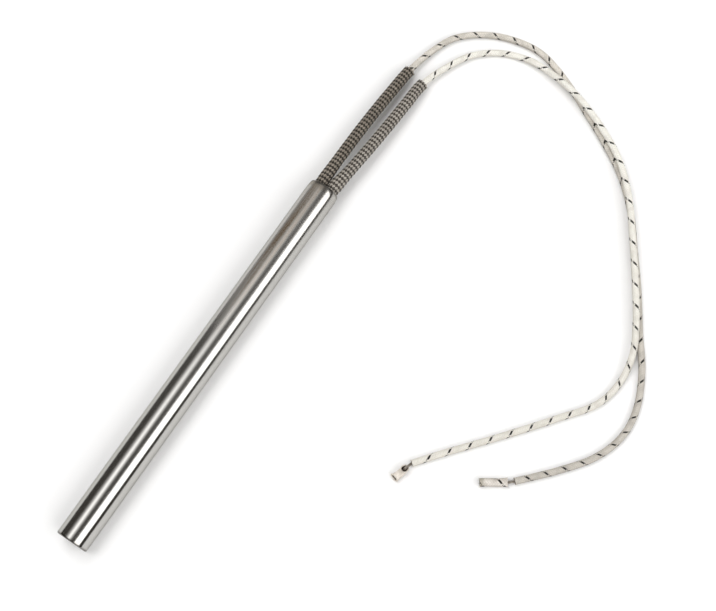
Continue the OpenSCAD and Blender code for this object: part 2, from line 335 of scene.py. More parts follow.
# A mesh grows from point blocks and faces with their own map, in millimetres until it is made
class Build:
    def __init__(self):
        self.points, self.faces, self.maps, self.slots, self.count = [], [], [], [], 0

    def skin(self, rings, runs, slot=0, inward=False):
        total, sides = rings.shape[:2]
        base = self.count
        self.points.append(rings.reshape(-1, 3))
        self.count += total * sides
        i, k = np.meshgrid(np.arange(total - 1), np.arange(sides), indexing="ij")
        after = (k + 1) % sides
        corners = np.stack([base + i * sides + k, base + i * sides + after,
                            base + (i + 1) * sides + after, base + (i + 1) * sides + k], axis=-1)
        u = np.stack([k, k + 1, k + 1, k], axis=-1) / sides
        v = np.stack([runs[i], runs[i], runs[i + 1], runs[i + 1]], axis=-1)
        if inward:
            corners, u, v = corners[..., ::-1], u[..., ::-1], v[..., ::-1]
        self.add(corners.reshape(-1, 4), np.stack([u, v], axis=-1).reshape(-1, 4, 2), slot)
        return base

    def bridge(self, first, second, sides, run, slot=0):
        k = np.arange(sides)
        after = (k + 1) % sides
        corners = np.stack([first + k, first + after, second + after, second + k], axis=-1)
        u = np.stack([k, k + 1, k + 1, k], axis=-1) / sides
        self.add(corners, np.stack([u, np.full_like(u, run)], axis=-1), slot)

    def cap(self, base, sides, run, slot=0, flip=False):
        order = np.arange(sides)[:: -1 if flip else 1]
        self.faces.append([int(base + k) for k in order])
        self.maps.append(np.stack([order / sides, np.full(sides, run)], axis=-1))
        self.slots.append(slot)

    def rod(self, rings, runs, last, slot=0):
        total, sides = rings.shape[:2]
        base = self.skin(rings, runs, slot)
        self.cap(base, sides, 0.0, slot, True)
        self.cap(base + (total - 1) * sides, sides, last, slot)

    def add(self, corners, maps, slot):
        self.faces.extend(corners.tolist())
        self.maps.extend(maps)
        self.slots.extend([slot] * len(corners))

    def keepAbove(self, floor):
        self.points = [np.maximum(block, (-np.inf, -np.inf, floor)) for block in self.points]

    def make(self, name, finishes):
        mesh = bpy.data.meshes.new(name)
        mesh.from_pydata(np.concatenate(self.points) * mm, [], self.faces)
        layer = mesh.uv_layers.new(name="weave")
        layer.data.foreach_set("uv", np.concatenate(self.maps).astype(np.float32).ravel())
        for finish in finishes:
            mesh.materials.append(finish)
        mesh.polygons.foreach_set("material_index", self.slots)
        mesh.polygons.foreach_set("use_smooth", [True] * len(self.faces))
        mesh.update()
        piece = bpy.data.objects.new(name, mesh)
        bpy.context.scene.collection.objects.link(piece)
        return piece


def ringsOn(line, radii, sides, axes=None):
    along, side, up = axes or axesOf(line)
    turn = 2 * math.pi * np.arange(sides) / sides
    return line[:, None] + radii[..., None] * (
        side[:, None] * np.cos(turn)[None, :, None] + up[:, None] * np.sin(turn)[None, :, None])


# Two sets of yarns, each over two and under two; yarn 0 of the first set is the tracer
braidShape = {
    "carriers": 8,
    "pitch": 7.8,
    "tracerStart": 2.0,  # in yarns, so that the tracer crosses the top at whole turns
    "crossStart": 1.5,
    "phase": 0.5,
    "yarnRound": 1.84,
    "lift": 0.2,
    "tall": 0.8,
}


# From 0 between the yarns to 1 on a crown
def braidHeight(around, turns, hand):
    carriers, phase = braidShape["carriers"], braidShape["phase"]
    yarnRound, lift = braidShape["yarnRound"], braidShape["lift"]
    a = carriers * (around + hand * turns) - braidShape["tracerStart"]
    b = carriers * (around - hand * turns) + braidShape["crossStart"]
    i, j = np.round(a), np.round(b)
    crownA = np.sqrt(np.maximum(0, 1 - (yarnRound * (a - i)) ** 2))
    crownB = np.sqrt(np.maximum(0, 1 - (yarnRound * (b - j)) ** 2))
    liftA = np.cos(math.pi / 2 * (b + i + phase))
    liftB = -np.cos(math.pi / 2 * (a + j + phase))
    highest = np.maximum(crownA + lift * liftA, crownB + lift * liftB)
    return np.clip(braidShape["tall"] * highest, 0, 1)


braidLook = {
    "tracer": rgb(0.009, 0.008, 0.007),
    "tracerCover": 0.97,
    "tracerProud": 0.6,
    "tracerWide": 2.3,
    "tracerEdge": (0.02, 0.3),
    "tracerDip": (-0.75, 0.05),
    "tracerUnder": 0.65,  # how much of it shows where it dives
    "yarnRound": 3.4,
    "lift": 0.5,
    "crossing": 0.06,
    "strands": 40.0,
    "wear": (330.0, 4.0),  # scale and detail
    "wearRange": (0.42, 0.66),
    "fleck": (2600.0, 2.0),
    "fleckRange": (0.6, 0.8),
    "fleckCover": 0.12,
    "gapShadeRange": (0.55, 1.2),
    "gapShadeCover": 0.75,
    "greyTurns": (3.0, 30.0),  # greyer towards the far end
    "greyCover": 0.45,
    "sideShadeRange": (0.05, 0.75),  # and painted shade down the sides and underside, where the round lead turns from the light
    "sideShadeCover": 0.6,
    # one colour for the painted shade down a slug's flank and for the soot at its far end
    "sootAndShade": rgb(0.3, 0.27, 0.2),
    "shadedSideBand": (0.3, 0.46, 0.62, 0.8),
    "shadedSideCover": 0.8,
    "sootEnd": (0.66, 0.86),
    "rough": 0.78,
    "crownGloss": 0.1,
    "gloss": 0.2,
    "reliefYarn": 0.6,
    "reliefStrand": 0.08,
    "reliefFleck": 0.1,
    "reliefDepth": 0.00014,
    "reliefStrength": 0.9,
}


# Braided glass: cream yarns and one black tracer, worked out from the map around and along the lead
def braidFinish(name, colour, shade, hand, dirt, traced=True, sootAndShade=0.0):
    look = braidLook
    finish = Finish(name)
    around, turns = finish.surfacePlace()
    carriers, phase = braidShape["carriers"], braidShape["phase"]
    a = (around + turns * hand) * carriers - braidShape["tracerStart"]
    b = (around - turns * hand) * carriers + braidShape["crossStart"]
    i, j = a.calc("ROUND"), b.calc("ROUND")
    offA, offB = a - i, b - j
    liftA = ((b + i + phase) * (math.pi / 2)).calc("COSINE")
    liftB = ((a + j + phase) * (math.pi / 2)).calc("COSINE") * -1.0
    mark = (i * (1.0 / carriers)).calc("FRACT").calc("PINGPONG", 0.5)
    mark = 1.0 - mark.calc("GREATER_THAN", 0.5 / carriers)  # 1 on the tracer
    bowA = look["yarnRound"] - mark * look["tracerWide"]
    crownA = (1.0 - offA * offA * bowA).calc("MAXIMUM", 0.0).calc("SQRT")
    crownB = (1.0 - offB * offB * look["yarnRound"]).calc("MAXIMUM", 0.0).calc("SQRT")
    proud = mark * look["tracerProud"]
    highA = crownA + liftA * look["lift"] + proud
    highB = crownB + liftB * look["lift"]
    onTop = (highA - highB).between(-look["crossing"], look["crossing"])
    height = highA.calc("MAXIMUM", highB)
    shows = liftA.between(*look["tracerDip"]) * (1.0 - look["tracerUnder"]) + look["tracerUnder"]
    tracerMask = mark * onTop * crownA.between(*look["tracerEdge"]) * shows
    strandsA = (offA * look["strands"]).calc("COSINE")
    strandsB = (offB * look["strands"]).calc("COSINE")
    strands = strandsA * onTop + strandsB * (1.0 - onTop)
    x, y, z = finish.place()
    wear = finish.noise(x, y, z, *look["wear"]).between(*look["wearRange"])
    fleck = finish.noise(x, y, z, *look["fleck"])
    # painted shade in the hollows between the yarns
    gapShade = 1.0 - (height - proud * onTop).between(*look["gapShadeRange"])
    # painted shade: the lead is darkened down its sides and underside, as if turned from the light
    top = (around * (2 * math.pi)).calc("SINE")
    sides = 1.0 - top.between(*look["sideShadeRange"])
    tone = finish.blend(turns.between(*look["greyTurns"]) * look["greyCover"], colour, shade)
    tone = finish.blend(wear * dirt, tone, shade)
    tone = finish.blend(sides * look["sideShadeCover"], tone, shade)
    tone = finish.blend(gapShade * look["gapShadeCover"], tone, shade)
    tone = finish.blend(fleck.between(*look["fleckRange"]) * look["fleckCover"], tone, shade)
    # painted shade darkens the slug's flank that is turned from the key light, and soot darkens its far
    # end
    if sootAndShade:
        shadeAndSoot = around.band(*look["shadedSideBand"]) * look["shadedSideCover"] + turns.between(*look["sootEnd"])
        tone = finish.blend(shadeAndSoot * sootAndShade, tone, look["sootAndShade"])
    if traced:
        tone = finish.blend(tracerMask * look["tracerCover"], tone, look["tracer"])
    raised = height * look["reliefYarn"] + strands * look["reliefStrand"] + fleck * look["reliefFleck"]
    relief = finish.bump(raised, look["reliefDepth"], look["reliefStrength"])
    return finish.surface({"Base Color": tone, "Roughness": look["rough"] - height * look["crownGloss"],
                           "Normal": relief, "Specular IOR Level": look["gloss"]})


plainLook = {"scale": 1500.0, "range": (0.35, 0.7), "rough": 0.75, "gloss": 0.3}


def plainYarn(name, colour, shade):
    finish = Finish(name)
    x, y, z = finish.place()
    patch = finish.noise(x, y, z, plainLook["scale"]).between(*plainLook["range"])
    tone = finish.blend(patch, colour, shade)
    return finish.surface({"Base Color": tone, "Roughness": plainLook["rough"],
                           "Specular IOR Level": plainLook["gloss"]})


# Loose glass fibres: thin tapered hairs that curl as they leave their root
fibreShape = {"curl": 0.35, "steps": 5, "sides": 3, "taper": 0.7, "floor": 0.03}


def fibres(build, roots, ways, lengths, thick, slot):
    shape = fibreShape
    for root, way, length in zip(roots, ways, lengths):
        bend = chance.normal(size=3) * shape["curl"]
        spots = np.linspace(0, 1, shape["steps"])
        line = root + np.outer(spots * length, way) + np.outer(spots**2 * length, bend)
        line[:, 2] = np.maximum(line[:, 2], shape["floor"])
        radii = np.repeat((thick * (1 - shape["taper"] * spots))[:, None], shape["sides"], axis=1)
        build.rod(ringsOn(line, radii, shape["sides"]), runOf(line), length, slot)


# Fibres all round the end of a line, rooted at one radius or between two
def endFibres(build, line, hair, slot, radius, most=None):
    along, side, up = (axis[-1] for axis in axesOf(line))
    turns = chance.uniform(0, 2 * math.pi, hair["count"])
    out = np.outer(np.cos(turns), side) + np.outer(np.sin(turns), up)
    reach = chance.uniform(radius, most, hair["count"])[:, None] if most else radius
    roots = line[-1] - along * hair["back"] + out * reach
    lengths = chance.uniform(*hair["length"], hair["count"])
    fibres(build, roots, along * hair["along"] + out * hair["out"], lengths, hair["thick"], slot)


boreStep = 8  # one ring in the bore for so many outside


def hollowTube(build, line, radii, bore, run, axes=None, inside=0, cut=0):
    sides = radii.shape[1]
    outer = build.skin(ringsOn(line, radii, sides, axes), run)
    axes = axes or axesOf(line)
    kept = np.unique(np.append(np.arange(0, len(line), boreStep), len(line) - 1))
    hole = np.full((len(kept), sides), bore) if np.isscalar(bore) else bore[kept]
    rings = ringsOn(line[kept], hole, sides, tuple(axis[kept] for axis in axes))
    inner = build.skin(rings, run[kept], inside, True)
    build.bridge(inner, outer, sides, run[0], cut)
    outerEnd, innerEnd = outer + (len(line) - 1) * sides, inner + (len(kept) - 1) * sides
    build.bridge(outerEnd, innerEnd, sides, run[-1], cut)


def makeInsulation(name, lead, finishes):  # of the braid, its loose fibres and its cut end, whose bore and end faces are painted dark for the shade in the hollow
    shape = leadShape
    route = routeOf(lead)
    line = evenLine(smoothLine(route, 2, len(route) - 1), shape["ring"])
    run = runOf(line)
    around = np.arange(shape["sides"])[None, :] / shape["sides"]
    turns = np.interp(run, *zip(*lead["turns"]))
    height = braidHeight(around, turns[:, None], lead["hand"])
    flare = shape["endFlare"] * np.exp(-(run[-1] - run) / shape["flareLength"])
    radii = shape["radius"] - shape["relief"] * (1 - height) + flare[:, None]
    build = Build()
    hollowTube(build, line, radii, shape["bore"], turns, inside=2, cut=2)
    build.keepAbove(0.0)
    endFibres(build, line, shape["hair"], 1, *shape["hairRoots"])
    return build.make(name, finishes), line


# Six strands twisted around a straight one, from inside the sleeve to inside the slug
strandShape = {
    "around": 6,
    "radius": 0.18,
    "twist": 0.36,
    "pitch": 12.0,
    "step": 0.8,
    "sides": 6,
    "skip": 10,
    "intoSlug": 0.6,
    "bright": rgb(0.46, 0.42, 0.37),
    "dull": rgb(0.25, 0.2, 0.16),
    "dullScale": 900.0,
    "dullRange": (0.35, 0.7),
    "metallic": 0.9,
    "rough": (0.3, 0.2),  # bright, and added where dull
}


def makeConductor(name, lead, line, slug, finish):
    shape = strandShape
    inside = slugLine(lead, slug)
    inside = inside[: int(len(inside) * shape["intoSlug"])]
    through = np.concatenate([routeOf(lead)[1:2], line[:: shape["skip"]], line[-1:], inside])
    path = evenLine(through, shape["step"])
    along, side, up = axesOf(path)
    run = runOf(path)
    build = Build()
    for strand in range(shape["around"] + 1):
        angle = 2 * math.pi * (run / shape["pitch"] + strand / shape["around"])
        reach = shape["twist"] if strand < shape["around"] else 0.0
        wire = path + reach * (side * np.cos(angle)[:, None] + up * np.sin(angle)[:, None])
        radii = np.full((len(path), shape["sides"]), shape["radius"])
        build.rod(ringsOn(wire, radii, shape["sides"]), run, run[-1])
    return build.make(name, [finish])


def wireFinish():
    shape = strandShape
    finish = Finish("tinnedStrands")
    x, y, z = finish.place()
    dull = finish.noise(x, y, z, shape["dullScale"]).between(*shape["dullRange"])
    tone = finish.blend(dull, shape["bright"], shape["dull"])
    rough = dull * shape["rough"][1] + shape["rough"][0]
    return finish.surface({"Base Color": tone, "Metallic": shape["metallic"], "Roughness": rough})


creamFinish = braidFinish("creamBraid", *leadTwo["braid"], leadTwo["hand"], leadShape["dirt"])
greyCreamFinish = braidFinish("greyCreamBraid", *leadOne["braid"], leadOne["hand"], leadShape["dirt"])
creamYarn = plainYarn("creamYarn", *leadTwo["yarn"])
greyCreamYarn = plainYarn("greyCreamYarn", *leadOne["yarn"])
strandFinish = wireFinish()
cutShadeFinish = plainYarn("cutBraidShade", *leadShape["cut"])
greyCreamSet = [greyCreamFinish, greyCreamYarn, cutShadeFinish]
insulationOne, lineOne = makeInsulation("lead1Insulation", leadOne, greyCreamSet)
insulationTwo, lineTwo = makeInsulation("lead2Insulation", leadTwo, [creamFinish, creamYarn, cutShadeFinish])
print("leads made:", round(runOf(lineOne)[-1], 1), "and", round(runOf(lineTwo)[-1], 1), "mm")


# Cut slugs of insulation at the leads' ends; the second one is torn, so both its ends turn up
slugShape = {
    "ring": 0.18,
    "flareLength": 1.2,
    "flatFrom": 0.4,  # share of the length, where a torn slug starts to flatten
    "flatPower": 1.5,
    "flatWiden": 0.25,
    "flatLower": 0.35,
    "flatWall": 0.85,
    "pinchLength": 2.0,
    "pinchNarrow": 0.22,
    "pinchRaise": 0.1,
    "ragged": 0.05,
    "raggedTurns": 3,
    "raggedDrift": 0.7,
    "smallestHole": 0.18,
    "floor": 0.02,
    # the inside of a slug is painted near black, a painted shade for its hollow
    "hollowShade": (rgb(0.1, 0.08, 0.062), rgb(0.05, 0.04, 0.032)),
    "hair": {"back": 0.2, "in": 0.1, "along": 0.8, "out": 0.5, "length": (0.3, 1.1), "thick": 0.03},
}
slugOneShape = {
    "radius": 1.5, "wall": 0.5, "arc": 10.0, "shift": (0.0, 0.0), "turn": -0.35,
    "nearPitch": 0.0, "farPitch": 0.0, "nearFlare": 0.22, "farFlare": 0.08, "flatten": 0.0,
    "hairs": 44, "dirt": 0.55, "sootAndShade": 0.65,
    "braid": (rgb(0.79, 0.745, 0.685), rgb(0.46, 0.41, 0.36)),
}
slugTwoShape = {
    "radius": 1.35, "wall": 0.38, "arc": 5.6, "shift": (1.9, 0.1), "turn": 0.3,
    "nearPitch": -60.0, "farPitch": 34.0, "nearFlare": 0.5, "farFlare": 0.1, "flatten": 1.0,
    "hairs": 60, "dirt": 0.5,
    "braid": (rgb(0.89, 0.83, 0.75), rgb(0.58, 0.51, 0.435)),
}


def slugLine(lead, shape):
    turn = math.radians(lead["slugTurn"])
    spots = np.linspace(0, 1, int(shape["arc"] / slugShape["ring"]) + 1)
    pitch = np.radians(shape["nearPitch"] + (shape["farPitch"] - shape["nearPitch"]) * spots[1:])
    step = shape["arc"] / len(pitch)
    forward = np.concatenate([[0.0], np.cumsum(np.cos(pitch) * step)])
    rise = np.concatenate([[0.0], np.cumsum(np.sin(pitch) * step)])
    x = heater["mouthX"] + lead["slugAt"][0] + shape["shift"][0] + forward * math.cos(turn)
    y = lead["slugAt"][1] + shape["shift"][1] + forward * math.sin(turn)
    return np.stack([x, y, rise - rise.min() + shape["radius"]], axis=1)


def makeSlug(name, lead, finishes, shape):  # of the braid, its loose fibres and its hollow, painted dark for the shade inside
    both, hair = slugShape, slugShape["hair"]
    line = slugLine(lead, shape)
    axes = axesOf(line)
    run = runOf(line)
    sides = leadShape["sides"]
    around = np.arange(sides)[None, :] / sides
    angle = around * 2 * math.pi
    turns = shape["turn"] + run / braidShape["pitch"]
    height = braidHeight(around, turns[:, None], lead["hand"])
    flare = (shape["nearFlare"] * np.exp(-run / both["flareLength"])
             + shape["farFlare"] * np.exp(-(run[-1] - run) / both["flareLength"]))
    flat = np.clip((run / run[-1] - both["flatFrom"]) / (1 - both["flatFrom"]), 0, 1)[:, None]
    flat = shape["flatten"] * flat ** both["flatPower"]
    pinch = shape["flatten"] * np.clip(1 - run / both["pinchLength"], 0, 1)[:, None]
    across = 1 + both["flatWiden"] * flat - both["pinchNarrow"] * pinch
    upward = 1 - both["flatLower"] * flat + both["pinchRaise"] * pinch
    oval = 1 / np.sqrt((np.cos(angle) / across) ** 2 + (np.sin(angle) / upward) ** 2)
    wave = np.sin(angle * both["raggedTurns"] + run[:, None] * both["raggedDrift"])
    outer = (shape["radius"] - leadShape["relief"] * (1 - height)) * (1 + both["ragged"] * wave)
    radii = (outer + flare[:, None]) * oval
    hole = np.maximum(radii - shape["wall"] * (1 + both["flatWall"] * flat), both["smallestHole"])
    build = Build()
    hollowTube(build, line, radii, hole, turns, axes, inside=2)
    build.keepAbove(both["floor"])
    ring = ringsOn(line, radii, sides, axes)
    for end, side in ((0, -1), (-1, 1)):
        roots = ring[end][chance.integers(0, sides, shape["hairs"])]
        out = roots - line[end]
        out /= np.linalg.norm(out, axis=1)[:, None]
        way = side * axes[0][end]
        lengths = chance.uniform(*hair["length"], len(roots))
        fibres(build, roots - way * hair["back"] - out * hair["in"],
               way * hair["along"] + out * hair["out"], lengths, hair["thick"], 1)
    return build.make(name, finishes)


usedFinish = braidFinish("greyCreamSlug", *slugOneShape["braid"], leadOne["hand"],
                         slugOneShape["dirt"], sootAndShade=slugOneShape["sootAndShade"])
tornFinish = braidFinish("tornBraid", *slugTwoShape["braid"], leadTwo["hand"],
                         slugTwoShape["dirt"], traced=False)
hollowShadeFinish = plainYarn("slugHollowShade", *slugShape["hollowShade"])
slugOne = makeSlug("lead1Slug", leadOne, [usedFinish, greyCreamYarn, hollowShadeFinish], slugOneShape)
slugTwo = makeSlug("lead2Slug", leadTwo, [tornFinish, creamYarn, hollowShadeFinish], slugTwoShape)
conductorOne = makeConductor("lead1Strands", leadOne, lineOne, slugOneShape, strandFinish)
conductorTwo = makeConductor("lead2Strands", leadTwo, lineTwo, slugTwoShape, strandFinish)
print("slugs made")


# Braided sleeves: two sets of flat yarns that pass over and under each other around a dark liner; the
# first set is painted lighter, a painted sheen where its fibres catch the key light, and the liner is
# painted shade inside the braid
sleeveShape = {
    "middle": 2.07,
    "weave": 0.14,
    "wide": 0.9,
    "thick": 0.26,
    "carriers": 12,
    "yarnSides": 6,
    "ring": 1.78,
    "step": 0.2,
    "shadeLiner": 1.78,
    "linerSides": 32,
    "linerStep": 4,
    "bore": 1.6,
    "swellAt": 14.0,  # fullest just outside the open end
    "swellLength": 4.5,
    "swellFrom": 9.0,
    "swellRise": 2.5,
    "fray": 0.22,
    "frayLength": 1.2,
    "hair": {"count": 40, "back": 0.3, "along": 0.7, "out": 0.5, "length": (0.4, 1.2), "thick": 0.025},
}
# the first colour pair is a painted sheen: the dark yarn painted lighter where its fibres catch the key
# light
sleeveOneLook = {
    "sheenLit": (rgb(0.36, 0.315, 0.26), rgb(0.19, 0.16, 0.13)),
    "dark": (rgb(0.04, 0.034, 0.024), rgb(0.02, 0.016, 0.012)),
    "shadeLiner": rgb(0.03, 0.026, 0.02),
    "swell": 0.18,
}
sleeveTwoLook = {
    "sheenLit": (rgb(0.5, 0.46, 0.41), rgb(0.31, 0.28, 0.24)),
    "dark": (rgb(0.08, 0.07, 0.058), rgb(0.037, 0.032, 0.026)),
    "shadeLiner": rgb(0.05, 0.043, 0.035),
    "swell": 0.4,
}
yarnLook = {
    "threads": (9.0, 0.35),  # across and along a yarn
    "threadDetail": 2.0,
    "threadRange": (0.35, 0.7),
    "blotchScale": 420.0,
    "blotchRange": (0.35, 0.7),
    "blotchCover": 0.45,
    "rough": (0.55, 0.2),  # plain, and added in a blotch
    "gloss": 0.45,
    "reliefDepth": 0.00006,
    "reliefStrength": 0.8,
}
linerLook = {"scale": 700.0, "range": (0.3, 0.7), "darkest": rgb(0.012, 0.011, 0.01), "rough": 0.7}


def yarnFinish(name, colour, shade):
    look = yarnLook
    finish = Finish(name)
    across, along = finish.surfacePlace()
    x, y, z = finish.place()
    fine, coarse = look["threads"]
    threads = finish.noise(across * fine, along * coarse, detail=look["threadDetail"])
    blotch = finish.noise(x, y, z, look["blotchScale"]).between(*look["blotchRange"])
    tone = finish.blend(threads.between(*look["threadRange"]), colour, shade)
    tone = finish.blend(blotch * look["blotchCover"], tone, shade)
    relief = finish.bump(threads, look["reliefDepth"], look["reliefStrength"])
    rough = look["rough"][0] + blotch * look["rough"][1]
    return finish.surface({"Base Color": tone, "Roughness": rough, "Normal": relief,
                           "Specular IOR Level": look["gloss"]})


# the liner is a dark tube under the braid, a painted shade for the inside of the sleeve
def shadeLinerFinish(name, colour):
    finish = Finish(name)
    x, y, z = finish.place()
    patch = finish.noise(x, y, z, linerLook["scale"])
    tone = finish.blend(patch.between(*linerLook["range"]), colour, linerLook["darkest"])
    return finish.surface({"Base Color": tone, "Roughness": linerLook["rough"]})


def makeSleeve(name, lead, look):
    shape = sleeveShape
    line = evenLine(smoothLine(routeOf(lead), 0, 2 + heater["sleevePoints"]), shape["step"])
    along, side, up = axesOf(line)
    run = runOf(line)
    pitch = shape["ring"] * shape["carriers"]
    fuller = look["swell"] * np.exp(-(((run - shape["swellAt"]) / shape["swellLength"]) ** 2))
    fuller = fuller * np.clip((run - shape["swellFrom"]) / shape["swellRise"], 0, 1)
    loose = np.clip((run - run[-1] + shape["frayLength"]) / shape["frayLength"], 0, 1)
    profile = 2 * math.pi * np.arange(shape["yarnSides"]) / shape["yarnSides"]
    build = Build()
    for hand, slot in ((1, 0), (-1, 1)):
        for index in range(shape["carriers"]):
            start = 2 * math.pi * index / shape["carriers"]
            angle = start + hand * 2 * math.pi * run / pitch
            lift = hand * np.cos(2 * math.pi * run / shape["ring"])
            fray = loose**2 * chance.uniform(0.0, shape["fray"])
            reach = shape["middle"] + fuller + shape["weave"] * lift + fray
            out = side * np.cos(angle)[:, None] + up * np.sin(angle)[:, None]
            spine = line + out * reach[:, None]
            way = np.gradient(spine, axis=0)
            way /= np.linalg.norm(way, axis=1)[:, None]
            flat = np.cross(out, way)
            flat /= np.linalg.norm(flat, axis=1)[:, None]
            wide = (shape["wide"] / 2 * (1 + fuller / shape["middle"]))[:, None] * np.cos(profile)
            thick = shape["thick"] / 2 * np.sin(profile) - wide**2 / (4 * shape["middle"])
            rings = spine[:, None] + flat[:, None] * wide[..., None] + out[:, None] * thick[..., None]
            build.rod(rings, runOf(spine), run[-1], slot)
    kept = np.arange(0, len(line), shape["linerStep"])
    kept[-1] = len(line) - 1
    axes = (along[kept], side[kept], up[kept])
    radii = np.repeat((shape["shadeLiner"] + fuller[kept])[:, None], shape["linerSides"], axis=1)
    first = len(build.faces)
    hollowTube(build, line[kept], radii, shape["bore"], run[kept], axes)
    build.slots[first:] = [2] * (len(build.faces) - first)  # all of the liner
    endFibres(build, line, shape["hair"], 0, shape["middle"])
    return build.make(name, [
        yarnFinish(name + "Light", *look["sheenLit"]),
        yarnFinish(name + "Dark", *look["dark"]),
        shadeLinerFinish(name + "ShadeLiner", look["shadeLiner"])])


sleeveOne = makeSleeve("sleeve1", leadOne, sleeveOneLook)
sleeveTwo = makeSleeve("sleeve2", leadTwo, sleeveTwoLook)
print("sleeves made")


# The sheath: a drawn tube with a rolled open end and a rounded edge at the tip
sheathShape = {
    "radius": 6.25,
    "length": 160.0,
    "wall": 0.9,
    "sides": 160,
    "mouthRoll": [(1.5, 0.03), (1.2, 0.065), (0.9, 0.09), (0.55, 0.1), (0.25, 0.12)],  # along, in
    "tipEdge": 0.6,
    "tipSegments": 6,
    "smoothAngle": 40.0,
}
pickWithin = 0.01  # millimetres from the place that a corner is picked by
edgeWithin = 0.1  # and from the outside of the tube


def pickEdges(piece, test):
    shape = bmesh.from_edit_mesh(piece.data)
    for part in (shape.verts, shape.edges, shape.faces):
        for element in part:
            element.select_set(False)
    for edge in shape.edges:
        edge.select_set(all(test(corner.co / mm) for corner in edge.verts))
    bmesh.update_edit_mesh(piece.data)


def offAxis(spot):
    return math.hypot(spot.y, spot.z - heater["axisZ"])


def makeSheath(finish):
    shape = sheathShape
    half, axisZ = shape["length"] / 2, heater["axisZ"] * mm
    rolled = sum(step for step, drop in shape["mouthRoll"])
    bpy.ops.object.select_all(action="DESELECT")
    bpy.ops.mesh.primitive_cylinder_add(
        vertices=shape["sides"], radius=shape["radius"] * mm, depth=(shape["length"] - rolled) * mm,
        end_fill_type="NOTHING", location=(rolled / 2 * mm, 0, axisZ), rotation=(0, math.pi / 2, 0))
    tube = bpy.context.object
    tube.name = tube.data.name = "sheathTube"
    bpy.ops.object.transform_apply(location=True, rotation=True, scale=True)
    bpy.ops.object.mode_set(mode="EDIT")
    bpy.ops.mesh.select_mode(type="EDGE")
    x, reach = rolled - half, shape["radius"]
    pickEdges(tube, lambda spot: abs(spot.x - x) < pickWithin)
    for step, drop in shape["mouthRoll"]:  # the open end rolls in a little
        x, grow = x - step, (reach - drop) / reach
        bpy.ops.mesh.extrude_edges_move(TRANSFORM_OT_translate={"value": (-step * mm, 0, 0)})
        bpy.ops.transform.resize(value=(1, grow, grow), center_override=(x * mm, 0, axisZ))
        reach -= drop
    bpy.ops.mesh.select_all(action="SELECT")
    bpy.ops.mesh.normals_make_consistent(inside=False)
    bpy.ops.object.mode_set(mode="OBJECT")
    wall = tube.modifiers.new("wall", "SOLIDIFY")
    wall.thickness = shape["wall"] * mm
    wall.offset = -1
    bpy.ops.object.modifier_apply(modifier="wall")
    bpy.ops.object.mode_set(mode="EDIT")
    outside = shape["radius"] - edgeWithin
    pickEdges(tube, lambda spot: abs(spot.x - half) < pickWithin and offAxis(spot) > outside)
    bpy.ops.mesh.bevel(offset=shape["tipEdge"] * mm, segments=shape["tipSegments"], affect="EDGES")
    bpy.ops.object.mode_set(mode="OBJECT")
    bpy.ops.object.shade_smooth_by_angle(angle=math.radians(shape["smoothAngle"]))
    tube.data.materials.clear()
    tube.data.materials.append(finish)
    return tube


# Places along the tube are metres from its middle towards the open end,
# and places around it are radians from the top towards +Y
steelLook = {
    "bright": rgb(0.515, 0.505, 0.485),
    "dull": rgb(0.44, 0.43, 0.405),
    "dullCover": 0.35,
    "tint": rgb(0.6, 0.6, 0.58),
    "lines": (9000.0, 1.5, 0.0, 2.0),  # four noises: scale along and around, layer and detail
    "clouds": (60.0, 2.0, 3.0, 3.0),
    "streaks": (45.0, 8.0, 7.0, 4.0),  # these run along the tube, so that they never read as marks
    "grain": (1500.0, 10.0, 2.0, 4.0),
    "streakRange": (0.3, 0.7),
    "grainRange": (0.35, 0.65),
    "stain": rgb(0.095, 0.062, 0.031),
    "stainCover": 0.95,
    "stainMix": (0.5, 0.25, 0.4),  # streaks, grain and plain
    "stainRise": (0.012, 0.068),
    "stainDrift": 0.03,
    "stainStop": (0.0775, 0.0798),
    "stainAround": (-0.74, -0.5, -0.24, -0.02),
    "beige": rgb(0.47, 0.4, 0.33),
    "beigeCover": 0.55,
    "beigeAround": (-0.2, -0.04, 0.02, 0.14),
    # painted reflection and shade: darker towards the open end, where the dark sleeves are mirrored in
    # the steel
    "mouthShade": rgb(0.27, 0.235, 0.19),
    "mouthShadeWide": (0.06, 0.079),
    "mouthShadeWideCover": 0.3,
    "mouthShadeEnd": (0.0765, 0.0785),
    "mouthShadeEndAround": (0.1, 0.5),
    "mouthShadeEndCover": 0.55,
    "rim": rgb(0.15, 0.142, 0.13),  # painted shade: the rounded edges at both ends are darker, for their dark reflection and contact shadow
    "rimCover": 0.7,
    "rimAt": (0.0789, 0.0796),
    "hazeAlong": (-0.09, 0.09),
    "crispAround": (0.36, 0.54, 0.82, 0.95),
    "crispHaze": 0.15,
    "rough": 0.13,
    "roughLines": 0.06,
    "roughClouds": 0.05,
    "roughStain": 0.25,
    "roughHaze": 0.07,
    "smoothCrisp": 0.065,
    "stainCoat": 0.8,  # how much of the metal the stain and the haze hide
    "hazeCoat": 0.08,
    "reliefDepth": 0.000004,
    "reliefStrength": 0.5,
}
